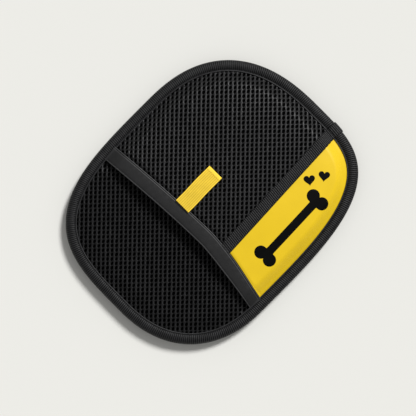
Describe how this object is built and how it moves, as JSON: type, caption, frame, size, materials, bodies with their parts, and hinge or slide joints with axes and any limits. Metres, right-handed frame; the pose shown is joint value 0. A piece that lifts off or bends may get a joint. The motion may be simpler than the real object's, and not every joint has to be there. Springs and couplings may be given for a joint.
{
  "type": "grooming mitt",
  "caption": "Flat pet grooming mitt: rubber-tipped palm pad, padded hand pocket with a stretch opening band, label panel and pull tab.",
  "frame": {"origin": "centre of the mitt's footprint, on the surface that the rubber tips stand on", "axes": "+Y along the mitt's length towards the fingertips, +X across it towards the label panel, +Z away from the palm, up through the back of the hand"},
  "size_m": [0.1848, 0.2297, 0.0269],
  "materials": {
    "pad_rubber": "moulded soft rubber, satin",
    "palm_weave": "woven polyester",
    "foam": "open-cell foam sheet",
    "spacer_mesh": "knitted spacer mesh with oval holes",
    "lining": "smooth lining cloth",
    "label_satin": "smooth coated satin",
    "print_ink": "printed ink film",
    "ribbed_tape": "ribbed grosgrain tape",
    "band_tape": "smooth folded stretch tape",
    "elastic": "knitted elastic",
    "tab_webbing": "lengthwise ribbed webbing",
    "tab_thread": "sewing thread",
    "thread": "sewing thread"
  },
  "bodies": {
    "mitt": {"grooming_pad": "pad_rubber", "pad_stitching": "thread", "palm_fabric": "palm_weave", "palm_foam": "foam", "palm_mesh": "spacer_mesh", "back_lining": "lining", "back_mesh": "spacer_mesh", "label_foam": "foam", "label_panel": "label_satin", "label_motif": "print_ink", "seam_tape": "ribbed_tape", "seam_tape_stitching": "thread", "rim_binding": "ribbed_tape", "rim_stitching": "thread"},
    "mouth": {"opening_band": "band_tape", "opening_elastic": "elastic", "band_stitching": "thread"},
    "tab": {"pull_tab": "tab_webbing", "tab_stitching": "tab_thread"}
  },
  "joints": [
    {"name": "mouth_lift", "type": "slide", "parent": "mitt", "child": "mouth", "axis": [0, 0, 1], "range_m": [0, 0.012], "stiffness_N_per_m": 20},
    {"name": "tab_flip", "type": "hinge", "parent": "mouth", "child": "tab", "pos_m": [-0.0122, -0.01919, 0.02552], "axis": [1, 0, 0], "range_deg": [0, 160]}
  ]
}
